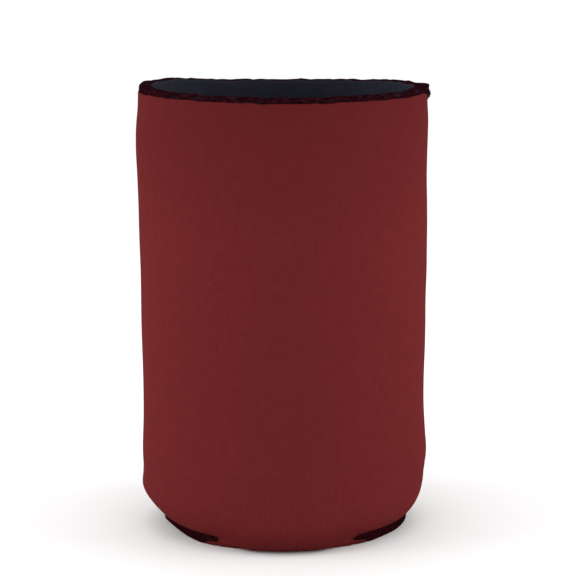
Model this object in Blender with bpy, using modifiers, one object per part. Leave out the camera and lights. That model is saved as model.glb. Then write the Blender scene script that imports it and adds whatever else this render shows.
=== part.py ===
"""Cooler sleeve for a drink: one die-cut sheet of foam rubber, folded up and sewn along two side seams.

The sheet is a front panel, a neck, a round base, a second neck and a back panel, all in one piece. Maroon jersey
faces outwards, and the cut edges and the lining are black. The panels meet edge to edge at +X and -X, where a
zigzag lockstitch holds them. Between the necks the base isn't sewn to the wall, so a slit shows the base's edge.

Units are metres, +Z is up, the front is -Y, and the origin is the middle of the underside.
"""

import math

import bmesh
import bpy
import numpy as np
from mathutils import Vector

# Sheet and bore
BORE_RADIUS = 0.0333
SHEET_THICKNESS = 0.0036

# Mouth: the cloth's edge is at this height in front and rises to the sides, and bare foam stands above it
MOUTH_HEIGHT = 0.1108
MOUTH_DRAW = 0.0001
SIDE_RISE = 0.0010
RISE_DEPTH = 0.0200
FOAM_STAND = 0.0014
FOAM_INSET = 0.0005
SEAM_STAND = 0.0004
SEAM_STAND_REACH = 0.0080

# Wall: it swells a little below the mouth and draws in a little above the heel
SWELL_BELOW_MOUTH = 0.0070
SWELL = 0.0004
WAIST_ABOVE_HEEL = 0.0200
WAIST_DRAW = 0.0003

# Base and heel: outside the necks the wall tucks in over the edge of the base
BASE_RADIUS = 0.0311
LIP_OVERHANG = 0.0008
LIP_GAP = 0.0003
TUCK_ANGLE = math.radians(55)
MARGIN_WIDTH = 0.0030
KNUCKLE_WIDTH = 0.0006
EDGE_PINCH = 0.0002

# Necks: where the sheet runs on from the wall to the base, whose margin curls up at the ends of the slits
NECK_HALF_ANGLE = math.radians(32.3)
FOLD_RADIUS = 0.0060
FOLD_FULL_SHARE = 0.35
SLIT_END_RADIUS = 0.0013
CURL_HEIGHT = 0.0014
CURL_SPREAD = 0.0009
CURL_REACH = math.radians(10)

# Side seams
SEAM_GAP = 0.0003
SEAM_DIP = 0.0008
SEAM_LINING_DIP = 0.0004
SEAM_DIP_REACH = 0.0032

# Stitching
THREAD_RADIUS = 0.0002
THREAD_CLEARANCE = 0.0003
STITCH_WIDTH = 0.0040
STITCH_LENGTH = 0.0027
STITCH_HOLE_RUN = 0.0006
STITCH_START = 0.0015
STITCH_END = 0.0012
TACKS = 2
TACK_WIDTH = 0.0012

# Softened corners of the cut edges
CUT_EDGE_BEVEL = 0.0003

# Rows and columns of the mesh
MOUTH_ROWS = 3
WALL_ROWS = 8
HEEL_ROWS = 5
ROLL_ROWS = 4
NECK_COLUMNS = 6
SLIT_COLUMNS = 9
VALLEY_COLUMNS = (1.8, 1.1, 0.55)

# Worked out from the sizes above
WALL_RADIUS = BORE_RADIUS + SHEET_THICKNESS
LIP_RADIUS = BASE_RADIUS + LIP_OVERHANG
LIP_LEAN = (LIP_OVERHANG * math.sin(TUCK_ANGLE) - LIP_GAP) / math.cos(TUCK_ANGLE)
LIP_HEIGHT = SHEET_THICKNESS - LIP_LEAN
HEEL_RADIUS = (WALL_RADIUS - LIP_RADIUS) / (1 - math.cos(TUCK_ANGLE))
HEEL_HEIGHT = LIP_HEIGHT + HEEL_RADIUS * math.sin(TUCK_ANGLE)
QUARTER = math.pi / 2
CLOTH_ROW = 1
LIP_ROW = CLOTH_ROW + MOUTH_ROWS + WALL_ROWS + HEEL_ROWS
RIM_ROW = LIP_ROW + ROLL_ROWS


def clear_scene():
    for item in list(bpy.data.objects):
        bpy.data.objects.remove(item, do_unlink=True)


def new_collection(name):
    collection = bpy.data.collections.new(name)
    bpy.context.scene.collection.children.link(collection)
    return collection


def new_material(name, color, roughness, sheen=0.0):
    material = bpy.data.materials.new(name)
    material.use_nodes = True
    shader = material.node_tree.nodes["Principled BSDF"]
    shader.inputs["Base Color"].default_value = (*color, 1.0)
    shader.inputs["Roughness"].default_value = roughness
    shader.inputs["Metallic"].default_value = 0.0
    shader.inputs["Sheen Weight"].default_value = sheen
    material.diffuse_color = (*color, 1.0)
    return material


def smooth(share):
    """Eases a share from 0 to 1."""
    share = min(max(share, 0.0), 1.0)
    return share * share * (3 - 2 * share)


def from_neck(azimuth):
    """The angle round from the middle of the nearer neck, 0 to a quarter turn."""
    return abs(math.atan(math.tan(azimuth))) if math.cos(azimuth) else QUARTER


def near_seam(azimuth, reach):
    """1 on a side seam, fading away over this distance round the wall."""
    return math.exp(-((WALL_RADIUS * (QUARTER - from_neck(azimuth)) / reach) ** 2))


def fold_share(azimuth):
    """1 in the middle of a neck, where the fold is full, and 0 from its ends on."""
    share = from_neck(azimuth) / NECK_HALF_ANGLE
    return smooth((1 - share) / (1 - FOLD_FULL_SHARE))


def wall_swell(height):
    """How far the wall stands out from its plain radius at this height."""
    heights = (HEEL_HEIGHT, HEEL_HEIGHT + WAIST_ABOVE_HEEL, MOUTH_HEIGHT - SWELL_BELOW_MOUTH, MOUTH_HEIGHT)
    swells = (0.0, -WAIST_DRAW, SWELL, -MOUTH_DRAW)
    for low, high, start, end in zip(heights, heights[1:], swells, swells[1:]):
        if height <= high:
            return start + (end - start) * smooth((height - low) / (high - low))
    return swells[-1]


def wall_heights():
    """Heights of the wall's rows, from the mouth down to the top of the heel."""
    swell_height = MOUTH_HEIGHT - SWELL_BELOW_MOUTH
    upper = np.linspace(MOUTH_HEIGHT, swell_height, MOUTH_ROWS + 1)
    lower = np.linspace(swell_height, HEEL_HEIGHT, WALL_ROWS + 1)
    return [float(height) for height in (*upper, *lower[1:])]


def wall_rows(azimuth):
    """(cloth, lining) points of the wall, each a radius and a height. The first pair is the top of the foam."""
    rise = SIDE_RISE * math.sin(azimuth) ** 2
    cloth, lining = [], []
    for height in wall_heights():
        lifted = height + rise * smooth(1 - (MOUTH_HEIGHT - height) / RISE_DEPTH)
        radius = WALL_RADIUS + wall_swell(height)
        cloth.append((radius, lifted))
        lining.append((radius - SHEET_THICKNESS, lifted))
    foam_top = cloth[0][1] + FOAM_STAND + SEAM_STAND * near_seam(azimuth, SEAM_STAND_REACH)
    cloth.insert(0, (cloth[0][0] - FOAM_INSET, foam_top))
    lining.insert(0, (lining[0][0], foam_top))
    return cloth, lining


def arc_point(centre, radius, angle):
    return centre[0] + radius * math.cos(angle), centre[1] - radius * math.sin(angle)


def curl_share(azimuth):
    """1 at the ends of a slit, where the base's margin curls up, fading away along the slit."""
    return smooth(1 - (from_neck(azimuth) - NECK_HALF_ANGLE) / CURL_REACH)


def tucked_rows(azimuth):
    """(cloth, lining) points below the wall where the sheet isn't folded: the heel tucks in, then meets the base."""
    centre = (WALL_RADIUS - HEEL_RADIUS, HEEL_HEIGHT)
    rim_radius = BASE_RADIUS + CURL_SPREAD * curl_share(azimuth)
    rim_height = CURL_HEIGHT * curl_share(azimuth)
    inner_lift = rim_height / 2
    rim_inside = (BASE_RADIUS - inner_lift / math.tan(TUCK_ANGLE), SHEET_THICKNESS - EDGE_PINCH + inner_lift)
    cloth, lining = [], []
    for row in range(1, HEEL_ROWS + 1):
        angle = TUCK_ANGLE * row / HEEL_ROWS
        cloth.append(arc_point(centre, HEEL_RADIUS, angle))
        lining.append(arc_point(centre, HEEL_RADIUS - SHEET_THICKNESS, angle))
    lip_inside = lining[-1]
    for row in range(1, ROLL_ROWS + 1):
        share = row / ROLL_ROWS
        cloth.append(
            (
                rim_radius + (LIP_RADIUS - rim_radius) * math.cos(QUARTER * share),
                rim_height + (LIP_HEIGHT - rim_height) * (1 - math.sin(QUARTER * share)),
            )
        )
        lining += mixed([lip_inside], [rim_inside], share)
    return cloth, lining


def folded_rows():
    """(cloth, lining) points below the wall in the middle of a neck: one round fold from the wall to the base."""
    centre = (WALL_RADIUS - FOLD_RADIUS, FOLD_RADIUS)
    straight = HEEL_HEIGHT - FOLD_RADIUS
    half_fold = FOLD_RADIUS * QUARTER / 2
    cloth, lining = [], []
    for row in range(1, HEEL_ROWS + 1):
        along = (straight + half_fold) * row / HEEL_ROWS
        angle = max(along - straight, 0.0) / FOLD_RADIUS
        drop = max(straight - along, 0.0)
        for points, radius in ((cloth, FOLD_RADIUS), (lining, FOLD_RADIUS - SHEET_THICKNESS)):
            across, height = arc_point(centre, radius, angle)
            points.append((across, height + drop))
    for row in range(1, ROLL_ROWS + 1):
        angle = QUARTER / 2 * (1 + row / ROLL_ROWS)
        cloth.append(arc_point(centre, FOLD_RADIUS, angle))
        lining.append(arc_point(centre, FOLD_RADIUS - SHEET_THICKNESS, angle))
    return cloth, lining


def mixed(first, second, share):
    return [
        tuple(a + (b - a) * share for a, b in zip(point, other)) for point, other in zip(first, second)
    ]


def section(azimuth):
    """(cloth, lining) points of the sheet from the mouth to the innermost ring of the base, at this azimuth."""
    cloth, lining = wall_rows(azimuth)
    share = fold_share(azimuth)
    tucked, folded = tucked_rows(azimuth), folded_rows()
    cloth += mixed(tucked[0], folded[0], share)
    lining += mixed(tucked[1], folded[1], share)
    at_seam = near_seam(azimuth, SEAM_DIP_REACH)
    for row in range(LIP_ROW + 1):
        cloth[row] = (cloth[row][0] - SEAM_DIP * at_seam, cloth[row][1])
        lining[row] = (lining[row][0] + SEAM_LINING_DIP * at_seam, lining[row][1])
    margin = BASE_RADIUS - MARGIN_WIDTH
    cloth += [(BASE_RADIUS - KNUCKLE_WIDTH, 0.0), (margin, 0.0), (margin / 2, 0.0)]
    lining.append(((BASE_RADIUS + margin) / 2, SHEET_THICKNESS - EDGE_PINCH / 2))
    lining += [(margin, SHEET_THICKNESS), (margin / 2, SHEET_THICKNESS)]
    return cloth, lining


def placed(azimuth, point):
    radius, height = point
    return Vector((radius * math.sin(azimuth), -radius * math.cos(azimuth), height))


def column_azimuths():
    """Azimuths of the sheet's columns, round from the front panel's left edge."""
    valley = [QUARTER - share * SEAM_DIP_REACH / WALL_RADIUS for share in VALLEY_COLUMNS]
    neck = np.linspace(0, NECK_HALF_ANGLE, NECK_COLUMNS + 1)
    slit = np.linspace(NECK_HALF_ANGLE, valley[0], SLIT_COLUMNS + 1)[1:]
    seam_edge = QUARTER - SEAM_GAP / 2 / WALL_RADIUS
    right = [float(angle) for angle in (*neck, *slit, *valley[1:], seam_edge)]
    panel = [-angle for angle in reversed(right[1:])] + right
    return panel + [math.pi + angle for angle in panel]


def is_neck_end(azimuth):
    return math.isclose(from_neck(azimuth), NECK_HALF_ANGLE, rel_tol=1e-6)


def slit_end_shift(azimuth, row):
    """Rounds the blind end of a slit: its corners lie further along the slit than its middle."""
    if not is_neck_end(azimuth) or not LIP_ROW <= row <= RIM_ROW:
        return 0.0
    across = 2 * (row - LIP_ROW) / ROLL_ROWS - 1
    angle = SLIT_END_RADIUS / BASE_RADIUS * (1 - math.sqrt(1 - across * across))
    return angle if math.sin(2 * azimuth) > 0 else -angle


def cell_has_sheet(start, end, row):
    """Whether the sheet fills the cell between two columns, below this row."""
    if row >= RIM_ROW:
        return True
    middle = (start + end) / 2
    if QUARTER - from_neck(middle) < SEAM_GAP / 2 / WALL_RADIUS:
        return False
    return row < LIP_ROW or from_neck(middle) < NECK_HALF_ANGLE


def surface_grid(bm, azimuths, side):
    """Vertices of the cloth (side 0) or of the lining (side 1), by column and row, and the one in the middle."""
    columns = []
    for azimuth in azimuths:
        points = section(azimuth)[side]
        columns.append(
            [
                bm.verts.new(placed(azimuth + slit_end_shift(azimuth, row), point))
                for row, point in enumerate(points)
            ]
        )
    return columns, bm.verts.new((0.0, 0.0, SHEET_THICKNESS * side))


def add_surface(bm, azimuths, columns, middle, side):
    """Faces of one side of the sheet, facing out on the cloth and in on the lining."""
    around = len(azimuths)
    for index, start in enumerate(azimuths):
        following = (index + 1) % around
        end = azimuths[following] + (2 * math.pi if following == 0 else 0.0)
        left, right = columns[index], columns[following]
        for row in range(len(left) - 1):
            if not cell_has_sheet(start, end, row):
                continue
            corners = [left[row], left[row + 1], right[row + 1], right[row]]
            face = bm.faces.new(corners if side == 0 else corners[::-1])
            face.material_index = 1 if row < CLOTH_ROW else side
            face.smooth = True
        corners = [left[-1], middle, right[-1]]
        face = bm.faces.new(corners if side == 0 else corners[::-1])
        face.material_index = side
        face.smooth = True


def add_cut_edges(bm, cloth, lining):
    """Joins the two sides of the sheet along every edge of the blank, and marks those corners for softening."""
    weight = bm.edges.layers.float.new("bevel_weight_edge")
    across = {}
    for cloth_column, lining_column in zip(cloth, lining):
        across.update(zip(cloth_column, lining_column))
    open_edges = [edge for edge in bm.edges if edge.is_boundary and edge.verts[0] in across]
    for edge in open_edges:
        loop = edge.link_loops[0]
        first, second = loop.vert, loop.link_loop_next.vert
        face = bm.faces.new((second, first, across[first], across[second]))
        face.material_index = 1
        edge[weight] = 1.0
        bm.edges.get((across[first], across[second]))[weight] = 1.0


def make_sheet(collection, cloth_material, foam_material):
    bm = bmesh.new()
    azimuths = column_azimuths()
    cloth, cloth_middle = surface_grid(bm, azimuths, 0)
    lining, lining_middle = surface_grid(bm, azimuths, 1)
    add_surface(bm, azimuths, cloth, cloth_middle, 0)
    add_surface(bm, azimuths, lining, lining_middle, 1)
    add_cut_edges(bm, cloth, lining)
    mesh = bpy.data.meshes.new("foam_sleeve")
    bm.to_mesh(mesh)
    bm.free()
    mesh.materials.append(cloth_material)
    mesh.materials.append(foam_material)
    sleeve = bpy.data.objects.new("foam_sleeve", mesh)
    collection.objects.link(sleeve)
    bevel = sleeve.modifiers.new("soft_cut_edges", "BEVEL")
    bevel.limit_method = "WEIGHT"
    bevel.width = CUT_EDGE_BEVEL
    bevel.segments = 1
    bevel.material = 1
    return sleeve


def seam_surface(azimuth, side):
    """Lengths down the wall from the cloth's edge to the lip, with the points there, on one side of the sheet."""
    points = np.array(section(azimuth)[side][CLOTH_ROW : LIP_ROW + 1])
    lengths = np.concatenate([[0.0], np.cumsum(np.linalg.norm(np.diff(points, axis=0), axis=1))])
    return lengths, points


def thread_point(seam, offset, share, side):
    """A point of the thread over the seam, this far to one side of it and this share of the way down the wall."""
    azimuth = seam + offset / WALL_RADIUS
    lengths, points = seam_surface(azimuth, side)
    along = lengths[-1] * share
    point = np.array([np.interp(along, lengths, points[:, axis]) for axis in (0, 1)])
    ahead, behind = (
        np.array([np.interp(along + step, lengths, points[:, axis]) for axis in (0, 1)])
        for step in (STITCH_LENGTH / 2, -STITCH_LENGTH / 2)
    )
    down = (ahead - behind) / np.linalg.norm(ahead - behind)
    outward = np.array([-down[1], down[0]]) * (1 if side == 0 else -1)
    return placed(azimuth, point + outward * (THREAD_RADIUS + THREAD_CLEARANCE))


def thread_path(seam, side):
    """A zigzag down the seam, with a short run along it at each needle hole, and close tacks at the mouth."""
    length = seam_surface(seam, side)[0][-1]
    usable = length - STITCH_START - STITCH_END
    crossings = max(int(usable / STITCH_LENGTH), 2)
    advance = usable / crossings
    path = []
    for crossing in range(crossings + 1):
        width = TACK_WIDTH if crossing < TACKS else STITCH_WIDTH / 2
        offset = width if crossing % 2 else -width
        along = STITCH_START + advance * crossing
        for run in (-STITCH_HOLE_RUN / 2, STITCH_HOLE_RUN / 2):
            path.append(thread_point(seam, offset, (along + run) / length, side))
    return path


def make_thread(name, seam, side, collection, material):
    curve = bpy.data.curves.new(name, "CURVE")
    curve.dimensions = "3D"
    curve.bevel_depth = THREAD_RADIUS
    curve.bevel_resolution = 1
    curve.use_fill_caps = True
    path = thread_path(seam, side)
    spline = curve.splines.new("POLY")
    spline.points.add(len(path) - 1)
    for point, place in zip(spline.points, path):
        point.co = (*place, 1.0)
    curve.materials.append(material)
    thread = bpy.data.objects.new(name, curve)
    collection.objects.link(thread)
    return thread


def main():
    clear_scene()
    collection = new_collection("cooler_sleeve")
    jersey = new_material("maroon_jersey", (0.119, 0.0137, 0.0142), 0.85, sheen=0.3)
    foam = new_material("black_foam", (0.008, 0.0055, 0.008), 0.9)
    thread = new_material("black_thread", (0.01, 0.008, 0.01), 0.6)
    make_sheet(collection, jersey, foam)
    for hand, seam in (("left", -QUARTER), ("right", QUARTER)):
        make_thread(f"{hand}_seam_top_thread", seam, 0, collection, thread)
        make_thread(f"{hand}_seam_bobbin_thread", seam, 1, collection, thread)


main()
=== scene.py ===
# %% [markdown]
# A foam rubber cooler sleeve for a drink, dressed for a close photograph.
#
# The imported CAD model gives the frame: its place, its size and its solids. This lesson makes the soft
# surface that stands for those solids, and it gives every piece a finish that is made of nodes. Units are
# metres, +Z is up, the front panel faces -Y, and the two seams are at +X and -X.

import math

import bpy
import numpy as np
from mathutils import Matrix, Vector


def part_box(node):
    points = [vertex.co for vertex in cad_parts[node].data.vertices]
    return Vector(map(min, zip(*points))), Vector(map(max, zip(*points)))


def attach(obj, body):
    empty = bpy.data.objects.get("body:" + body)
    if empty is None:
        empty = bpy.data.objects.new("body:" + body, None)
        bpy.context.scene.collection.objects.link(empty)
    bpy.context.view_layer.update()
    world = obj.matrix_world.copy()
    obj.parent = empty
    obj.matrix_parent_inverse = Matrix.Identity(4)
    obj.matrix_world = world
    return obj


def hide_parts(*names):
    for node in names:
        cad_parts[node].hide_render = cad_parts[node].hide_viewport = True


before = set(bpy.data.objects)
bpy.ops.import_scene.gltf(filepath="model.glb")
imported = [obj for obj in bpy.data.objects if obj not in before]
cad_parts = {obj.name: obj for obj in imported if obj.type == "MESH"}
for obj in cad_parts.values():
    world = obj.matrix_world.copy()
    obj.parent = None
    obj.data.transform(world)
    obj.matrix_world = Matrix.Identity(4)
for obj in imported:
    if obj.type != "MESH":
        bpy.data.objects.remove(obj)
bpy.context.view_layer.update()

# %% [markdown]
# The camera comes first, because every later choice of detail depends on how large a millimetre is in the
# picture. Here it is about four pixels. The place, the pitch and the slight roll were fitted to the
# photograph.

# %% Camera
CAMERA_PLACE = (0.00101, -0.520, 0.1439)
CAMERA_PITCH = math.radians(9.07)
CAMERA_ROLL = math.radians(-0.49)
PIXELS_PER_UNIT = 2042.0
PICTURE_WIDTH = 576

camera_data = bpy.data.cameras.new("product_camera")
camera_data.sensor_width = 36.0
camera_data.lens = camera_data.sensor_width * PIXELS_PER_UNIT / PICTURE_WIDTH
camera_data.clip_start = 0.01
camera_data.clip_end = 100.0
camera = bpy.data.objects.new("product_camera", camera_data)
bpy.context.scene.collection.objects.link(camera)
level_then_down = Matrix.Rotation(math.pi / 2 - CAMERA_PITCH, 4, "X")
camera.matrix_world = (
    Matrix.Translation(CAMERA_PLACE) @ level_then_down @ Matrix.Rotation(CAMERA_ROLL, 4, "Z")
)
bpy.context.scene.camera = camera
print("lens in millimetres:", round(camera_data.lens, 1))

# %% [markdown]
# The sleeve is one sheet of foam rubber, 3.6 mm thick, with maroon jersey on the outside and black jersey
# on the inside. It was cut as one long blank: panel, neck, round base, neck, panel. Folding that blank up
# with Cloth would lose the fit round the drink, so the folded form is worked out as a section instead. A
# section is the line from the mouth down the wall, round the heel and in under the base, and it changes
# with the azimuth.
#
# The frame gives the outer size. The others are the maker's own sizes of the sheet.

# %% Sizes of the sheet
sleeve_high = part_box("foam_sleeve")[1]
SHEET = 0.0036
SWELL = 0.0004
WALL_RADIUS = sleeve_high.y - SWELL
LINING_STAND = 0.00119
MOUTH_HEIGHT = 0.1108
BASE_RADIUS = 0.0311
LIP_OVERHANG = 0.0008
LIP_RADIUS = BASE_RADIUS + LIP_OVERHANG
LIP_GAP = 0.0003
TUCK_ANGLE = math.radians(55)
NECK_HALF_ANGLE = math.radians(32.3)
FOLD_RADIUS = 0.0060
QUARTER = math.pi / 2

LIP_LEAN = ((LIP_RADIUS - BASE_RADIUS) * math.sin(TUCK_ANGLE) - LIP_GAP) / math.cos(TUCK_ANGLE)
LIP_HEIGHT = SHEET - LIP_LEAN
HEEL_RADIUS = (WALL_RADIUS - LIP_RADIUS) / (1 - math.cos(TUCK_ANGLE))
HEEL_HEIGHT = LIP_HEIGHT + HEEL_RADIUS * math.sin(TUCK_ANGLE)
print("wall radius", round(WALL_RADIUS, 5), "heel radius", round(HEEL_RADIUS, 5))

# %% [markdown]
# Cloth never changes suddenly, so nearly every size below eases from one place to the next. Three of these
# helpers do that: one eases along a list of places, one follows such a list and rounds its corners, and
# one fades away from an azimuth. Two more turn an azimuth into one that is easier to measure from.

# %% Easing helpers
def smooth(share):
    """A share from 0 to 1, eased at both ends."""
    share = np.clip(share, 0.0, 1.0)
    return share * share * (3 - 2 * share)


def eased(x, table):
    """Values that ease from one place of the table to the next. The table is (place, value) pairs."""
    places, values = np.array(table).T
    x = np.clip(x, places[0], places[-1])
    step = np.clip(np.searchsorted(places, x, side="right") - 1, 0, len(places) - 2)
    share = smooth((x - places[step]) / (places[step + 1] - places[step]))
    return values[step] + (values[step + 1] - values[step]) * share


def flowing(x, table, soft):
    """A line through the table's places, with its corners rounded over this reach."""
    places, values = np.array(table).T
    return np.mean([np.interp(x + shift, places, values) for shift in np.linspace(-soft, soft, 7)], axis=0)


def wrapped(azimuth):
    """The same azimuth, within half a turn of the front."""
    return (azimuth + math.pi) % (2 * math.pi) - math.pi


def nearness(azimuth, centre, reach):
    """1 at this azimuth, fading away over this reach on both sides. Both are in degrees."""
    return smooth(1 - np.abs(wrapped(azimuth - math.radians(centre))) / math.radians(reach))


def from_neck(azimuth):
    """The angle round from the middle of the nearer neck, 0 to a quarter turn."""
    return np.abs((azimuth + QUARTER) % math.pi - QUARTER)


print("halfway between two places:", float(eased(0.5, [(0, 0), (1, 1)])))

# %% [markdown]
# A hand-cut, machine-sewn sleeve isn't a perfect tube. The cut at the mouth rises towards the seams and
# dips at the right one, the wall above the heel stands out on the left and in on the right, and the base
# isn't quite round. These tables hold the height of the cut and the other departures in millimetres: on
# the two sides of the wall by height, and round the sleeve by degrees from the front. A slow ripple, made
# of a few waves with a fixed seed, adds the unevenness that foam rubber always has.

# %% Tables of the unevenness
MM = 0.001
MOUTH_EDGE = [
    (-180, 111.1), (-150, 111.5), (-128, 112.5), (-118, 112.65), (-111, 112.25), (-102, 112.35),
    (-90, 111.85), (-70, 111.75), (-56, 111.5), (-45, 111.35), (-22, 110.95), (0, 110.6), (20, 110.6),
    (32, 110.8), (46, 110.75), (60, 110.95), (72, 111.2), (77, 111.15), (84, 110.55), (94, 110.5),
    (102, 111.2), (115, 111.5), (140, 111.3), (180, 111.1),
]
SEAM_STAND = [
    (-180, 0.0), (-120, 0.0), (-96, 0.35), (-84, 0.35), (-62, 0.0), (0, 0.0), (74, 0.0), (77, 0.08),
    (84, 0.83), (92, 1.09), (94, 1.13), (98, 0.84), (103, 0.05), (108, 0.0), (114, 0.1), (120, 0.2),
    (130, 0.15), (142, 0.0), (180, 0.0),
]
LEFT_STAND = [
    (0, 0.1), (3, 0.1), (5.5, -0.2), (7.6, 0.25), (9.6, 1.05), (11.6, 0.7), (14.8, 0.25), (19.6, 0.5),
    (28, 0.3), (50, 0.25), (62, 0.2), (82, -0.05), (90, 0.1), (97, 0.35), (103, 0.15), (107, -0.4),
    (111, -0.15),
]
RIGHT_STAND = [
    (0, 0.0), (3, 0.0), (5.5, -0.5), (8, -0.8), (11.5, -0.95), (14, -0.7), (19.2, 0.1), (24, -0.3),
    (31, -0.5), (45, -0.2), (58, -0.3), (66, 0.0), (89, -0.35), (99, -0.2), (107, -0.2), (111, 0.0),
]
LIP_DROOP = [
    (-180, 0.0), (-148, 0.5), (-138, 0.1), (-100, -0.3), (-80, -0.4), (-68, -0.15), (-54, 0.1),
    (-45, 0.3), (-38, 0.5), (-30, 0.6), (0, 0.5), (30, 0.6), (38, 0.2), (48, 0.1), (72, 0.1),
    (82, -0.35), (100, -0.3), (138, 0.1), (148, 0.5), (180, 0.0),
]
BASE_REACH = [
    (-180, 0.0), (-125, 0.1), (-104, 0.8), (-93, 1.0), (-86, -0.05), (-79, -0.9), (-71, -1.3),
    (-63, -1.2), (-56, -0.75), (-48, -0.05), (-42, 0.55), (-37, 1.0), (-31, 0.85), (-24, 0.3),
    (-12, 0.1), (12, 0.1), (24, 0.3), (30, 0.55), (35, 0.75), (40, 0.6), (46, 0.05), (52, -0.4),
    (62, -0.3), (76, -0.2), (84, 0.05), (92, 0.4), (100, 0.2), (115, 0.0), (180, 0.0),
]
print("places round the mouth:", len(MOUTH_EDGE), "and round the base:", len(BASE_REACH))

# %% Unevenness at a place
RIPPLE_SEED = 11
RIPPLE_WAVES = (2, 3, 5, 7, 8, 11)
RIPPLE_RATES = (90, 330)
RIPPLE_DEPTH = 0.00032
FULL_TURN = 6.28
KNIFE_WAVES = ((17, 0.4, 0.05), (29, 2.1, 0.05), (43, 4.4, 0.045), (61, 1.3, 0.03))
SIDE_AZIMUTH = 84
SIDE_REACH = 58
SIDE_SOFT = 2.0
ROUND_SOFT = 4.0


def ripple(azimuth, height):
    """Slow waves of the foam, in metres."""
    waves = np.random.default_rng(RIPPLE_SEED)
    total = np.zeros(np.broadcast(azimuth, height).shape)
    for around in RIPPLE_WAVES:
        turn, lift = waves.uniform(0, FULL_TURN), waves.uniform(0, FULL_TURN)
        rate = waves.uniform(*RIPPLE_RATES)
        total += np.cos(around * azimuth + turn) * np.cos(rate * height + lift) / (around + 2)
    return RIPPLE_DEPTH * total


def wall_stand(azimuth, height):
    """How far the real wall stands out from the even one."""
    left = flowing(height / MM, LEFT_STAND, SIDE_SOFT) * nearness(azimuth, -SIDE_AZIMUTH, SIDE_REACH)
    right = flowing(height / MM, RIGHT_STAND, SIDE_SOFT) * nearness(azimuth, SIDE_AZIMUTH, SIDE_REACH)
    return (left + right) * MM + ripple(azimuth, height)


def round_the_sleeve(azimuth, table):
    """A value of the table, whose places are degrees round from the front, in metres."""
    return flowing(np.degrees(wrapped(azimuth)), table, ROUND_SOFT) * MM


def knife_waver(azimuth):
    """How the cut at the mouth wavers where the knife dragged the cloth, in metres."""
    return sum(depth * np.sin(around * azimuth + turn) for around, turn, depth in KNIFE_WAVES) * MM


print("mouth edge in front:", float(round_the_sleeve(np.array(0.0), MOUTH_EDGE)))

# %% [markdown]
# Now the section itself, for many azimuths at once. Each row is one step of the way from the mouth to the
# middle of the base. Outside the necks the wall tucks in to a cut lip over the edge of the base. Inside a
# neck it turns in one round fold. In between, the two forms are mixed, which is what the cloth does near
# the end of a slit.

# %% Rows of the wall
CLOTH, LINING = 0, 1
WALL_ROWS = 130
HEEL_ROWS = 14
ROLL_ROWS = 12
LIP_ROW = WALL_ROWS + HEEL_ROWS
RIM_ROW = LIP_ROW + ROLL_ROWS
RISE_DEPTH = 0.0200
WAVER_DEPTH = 0.0040
STAND_DEPTH = 0.0060
SWELLS = [
    (HEEL_HEIGHT, 0.0),
    (HEEL_HEIGHT + 0.0200, -0.0003),
    (MOUTH_HEIGHT - 0.0070, SWELL),
    (MOUTH_HEIGHT, -0.0001),
]


def wall_part(azimuth):
    """Radius and height of the wall's rows, (columns, rows), on the cloth and on the lining."""
    height = np.linspace(MOUTH_HEIGHT, HEEL_HEIGHT, WALL_ROWS + 1)[None, :]
    below_mouth = MOUTH_HEIGHT - height
    rise = (round_the_sleeve(azimuth, MOUTH_EDGE) - MOUTH_HEIGHT)[:, None]
    lifted = height + rise * smooth(1 - below_mouth / RISE_DEPTH)
    lifted = lifted + knife_waver(azimuth)[:, None] * smooth(1 - below_mouth / WAVER_DEPTH)
    radius = WALL_RADIUS + eased(height, SWELLS) + 0 * rise
    stand = LINING_STAND + round_the_sleeve(azimuth, SEAM_STAND)[:, None]
    inner = lifted + stand * smooth(1 - below_mouth / STAND_DEPTH)
    return (radius, lifted), (radius - SHEET, inner)


def arc(centre, radius, angle):
    """Radius and height on an arc that starts level with its centre, outside it, and goes down."""
    return centre[0] + radius * np.cos(angle), centre[1] - radius * np.sin(angle)


def stacked(*parts):
    """Joins (radius, height) parts one below the other."""
    columns = max(part[0].shape[0] for part in parts)
    wide = [[np.broadcast_to(side, (columns, side.shape[1])) for side in part] for part in parts]
    return tuple(np.concatenate([part[axis] for part in wide], axis=1) for axis in (0, 1))


print("rows down to the lip:", LIP_ROW, "and to the rim of the base:", RIM_ROW)

# %% Rows of the tucked heel
CURL_HEIGHT = 0.0011
CURL_SPREAD = 0.0005
CURL_REACH = math.radians(11)
CURL_INWARD = 0.35
EDGE_PINCH = 0.0002


def slit_curl(azimuth):
    """How far the margin of the base curls up: 1 at the end of a slit, fading away along the slit."""
    past_neck = np.maximum(from_neck(azimuth) - NECK_HALF_ANGLE, 0.0)[:, None]
    return smooth(1 - past_neck / CURL_REACH)


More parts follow.
